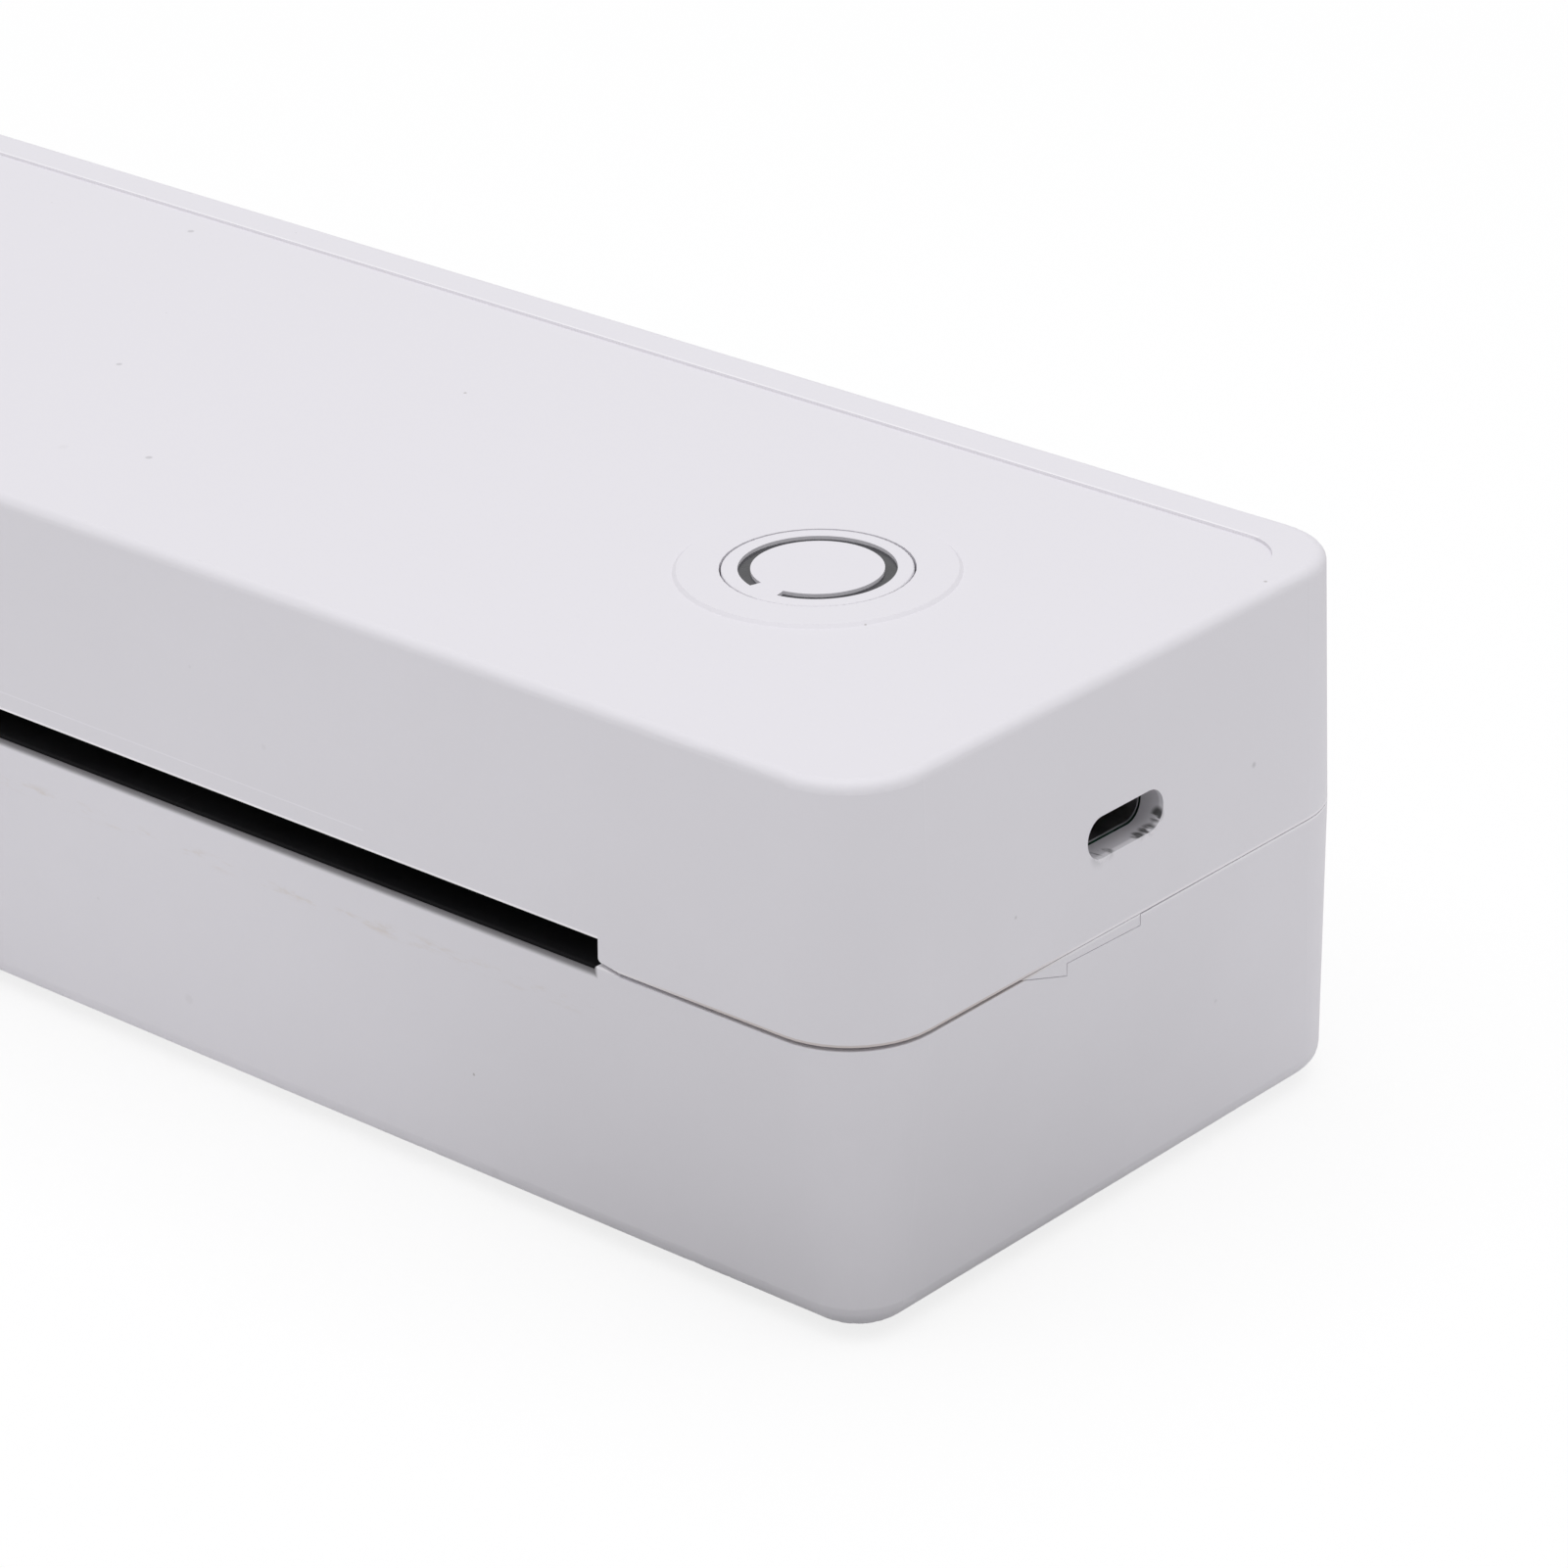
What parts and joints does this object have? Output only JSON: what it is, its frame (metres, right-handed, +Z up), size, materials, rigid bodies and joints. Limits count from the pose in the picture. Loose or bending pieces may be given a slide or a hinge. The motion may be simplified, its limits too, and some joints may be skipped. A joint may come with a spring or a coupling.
{
  "type": "portable thermal printer",
  "caption": "Slim portable thermal printer for wide sheets: white two-part housing with a hinged cover, long paper slot, round power button and a USB-C inlet.",
  "frame": {"origin": "on the surface it stands on, under the middle of its outer box, hinge knuckles included", "axes": "+X along the paper's width towards the USB end, -Y where the paper leaves, +Z up"},
  "size_m": [0.27, 0.065, 0.0462],
  "materials": {
    "housing_white": "fine satin moulded ABS",
    "button_white": "fine satin moulded ABS",
    "ring_smoke": "smoked light ring insert",
    "inner_grey": "dark grey moulded ABS",
    "gear_white": "natural acetal",
    "platen_rubber": "ground silicone rubber",
    "foot_rubber": "soft grey rubber",
    "steel": "ground steel",
    "zinc_steel": "zinc plated sheet steel",
    "screw_steel": "blackened screws",
    "head_aluminium": "extruded aluminium",
    "head_ceramic": "glazed alumina",
    "driver_resin": "black resin",
    "board_green": "solder mask",
    "part_black": "black component bodies",
    "usb_steel": "drawn stainless shell",
    "battery_wrap": "shrink wrap",
    "foam": "soft foam",
    "lead_jacket": "lead jacket",
    "flat_cable": "flat cable",
    "bush_plastic": "filled nylon"
  },
  "bodies": {
    "base": {"base_shell": "housing_white", "paper_deck": "inner_grey", "rubber_feet": "foot_rubber", "base_screws": "screw_steel", "hinge_pins": "steel", "release_spring": "steel", "platen_bushes": "bush_plastic"},
    "cover": {"cover_shell": "housing_white", "cover_inner_panel": "inner_grey", "panel_screws": "screw_steel", "switch_body": "part_black", "switch_plunger": "part_black", "main_board": "board_green", "board_parts": "part_black", "board_screws": "screw_steel", "usb_socket": "usb_steel", "usb_tongue": "part_black", "battery_pack": "battery_wrap", "battery_pads": "foam", "battery_lead": "lead_jacket", "motor_lead": "lead_jacket", "head_cable": "flat_cable", "paper_sensor": "part_black", "head_brackets": "inner_grey", "head_springs": "steel", "motor": "zinc_steel", "gear_plate": "zinc_steel", "gear_axles": "steel"},
    "power_button": {"power_button": "button_white", "button_ring": "ring_smoke"},
    "release_tab": {"release_tab": "housing_white"},
    "print_head": {"head_heatsink": "head_aluminium", "head_ceramic": "head_ceramic", "head_driver_cover": "driver_resin", "head_pivot_pins": "steel"},
    "platen": {"platen_roller": "platen_rubber", "platen_shaft": "steel", "platen_gear": "gear_white", "shaft_clips": "steel"},
    "drive_gear": {"drive_gear": "gear_white"},
    "idler_gear": {"idler_gear": "gear_white"},
    "motor_rotor": {"motor_shaft": "steel", "motor_pinion": "gear_white"}
  },
  "joints": [
    {"name": "cover_hinge", "type": "hinge", "parent": "base", "child": "cover", "pos_m": [0, 0.0295, 0.0249], "axis": [-1, 0, 0], "range_deg": [0, 85]},
    {"name": "button_press", "type": "slide", "parent": "cover", "child": "power_button", "axis": [0, 0, -1], "range_m": [0, 0.0005], "stiffness_N_per_m": 400, "springref_m": -0.0012, "deforming": ["switch_plunger"]},
    {"name": "release_push", "type": "slide", "parent": "base", "child": "release_tab", "axis": [-1, 0, 0], "range_m": [0, 0.0012], "stiffness_N_per_m": 500, "springref_m": -0.001, "deforming": ["release_spring"]},
    {"name": "head_lift", "type": "hinge", "parent": "cover", "child": "print_head", "pos_m": [0, -0.01, 0.02991], "axis": [-1, 0, 0], "range_deg": [0, 1.5], "stiffness_Nm_per_rad": 0.6, "springref_deg": -5.73, "deforming": ["head_springs"]},
    {"name": "platen_spin", "type": "hinge", "parent": "base", "child": "platen", "pos_m": [0, -0.0195, 0.0196], "axis": [1, 0, 0], "continuous": true},
    {"name": "drive_gear_spin", "type": "hinge", "parent": "cover", "child": "drive_gear", "pos_m": [0, -0.01401, 0.03138], "axis": [1, 0, 0], "continuous": true},
    {"name": "idler_gear_spin", "type": "hinge", "parent": "cover", "child": "idler_gear", "pos_m": [0, -0.00487, 0.03545], "axis": [1, 0, 0], "continuous": true},
    {"name": "motor_spin", "type": "hinge", "parent": "cover", "child": "motor_rotor", "pos_m": [0, 0.00461, 0.03611], "axis": [1, 0, 0], "continuous": true}
  ],
  "couplings": [
    {"joint": "drive_gear_spin", "follows": "platen_spin", "ratio": -1},
    {"joint": "idler_gear_spin", "follows": "platen_spin", "ratio": 1.8571},
    {"joint": "motor_spin", "follows": "platen_spin", "ratio": -4.0238}
  ]
}
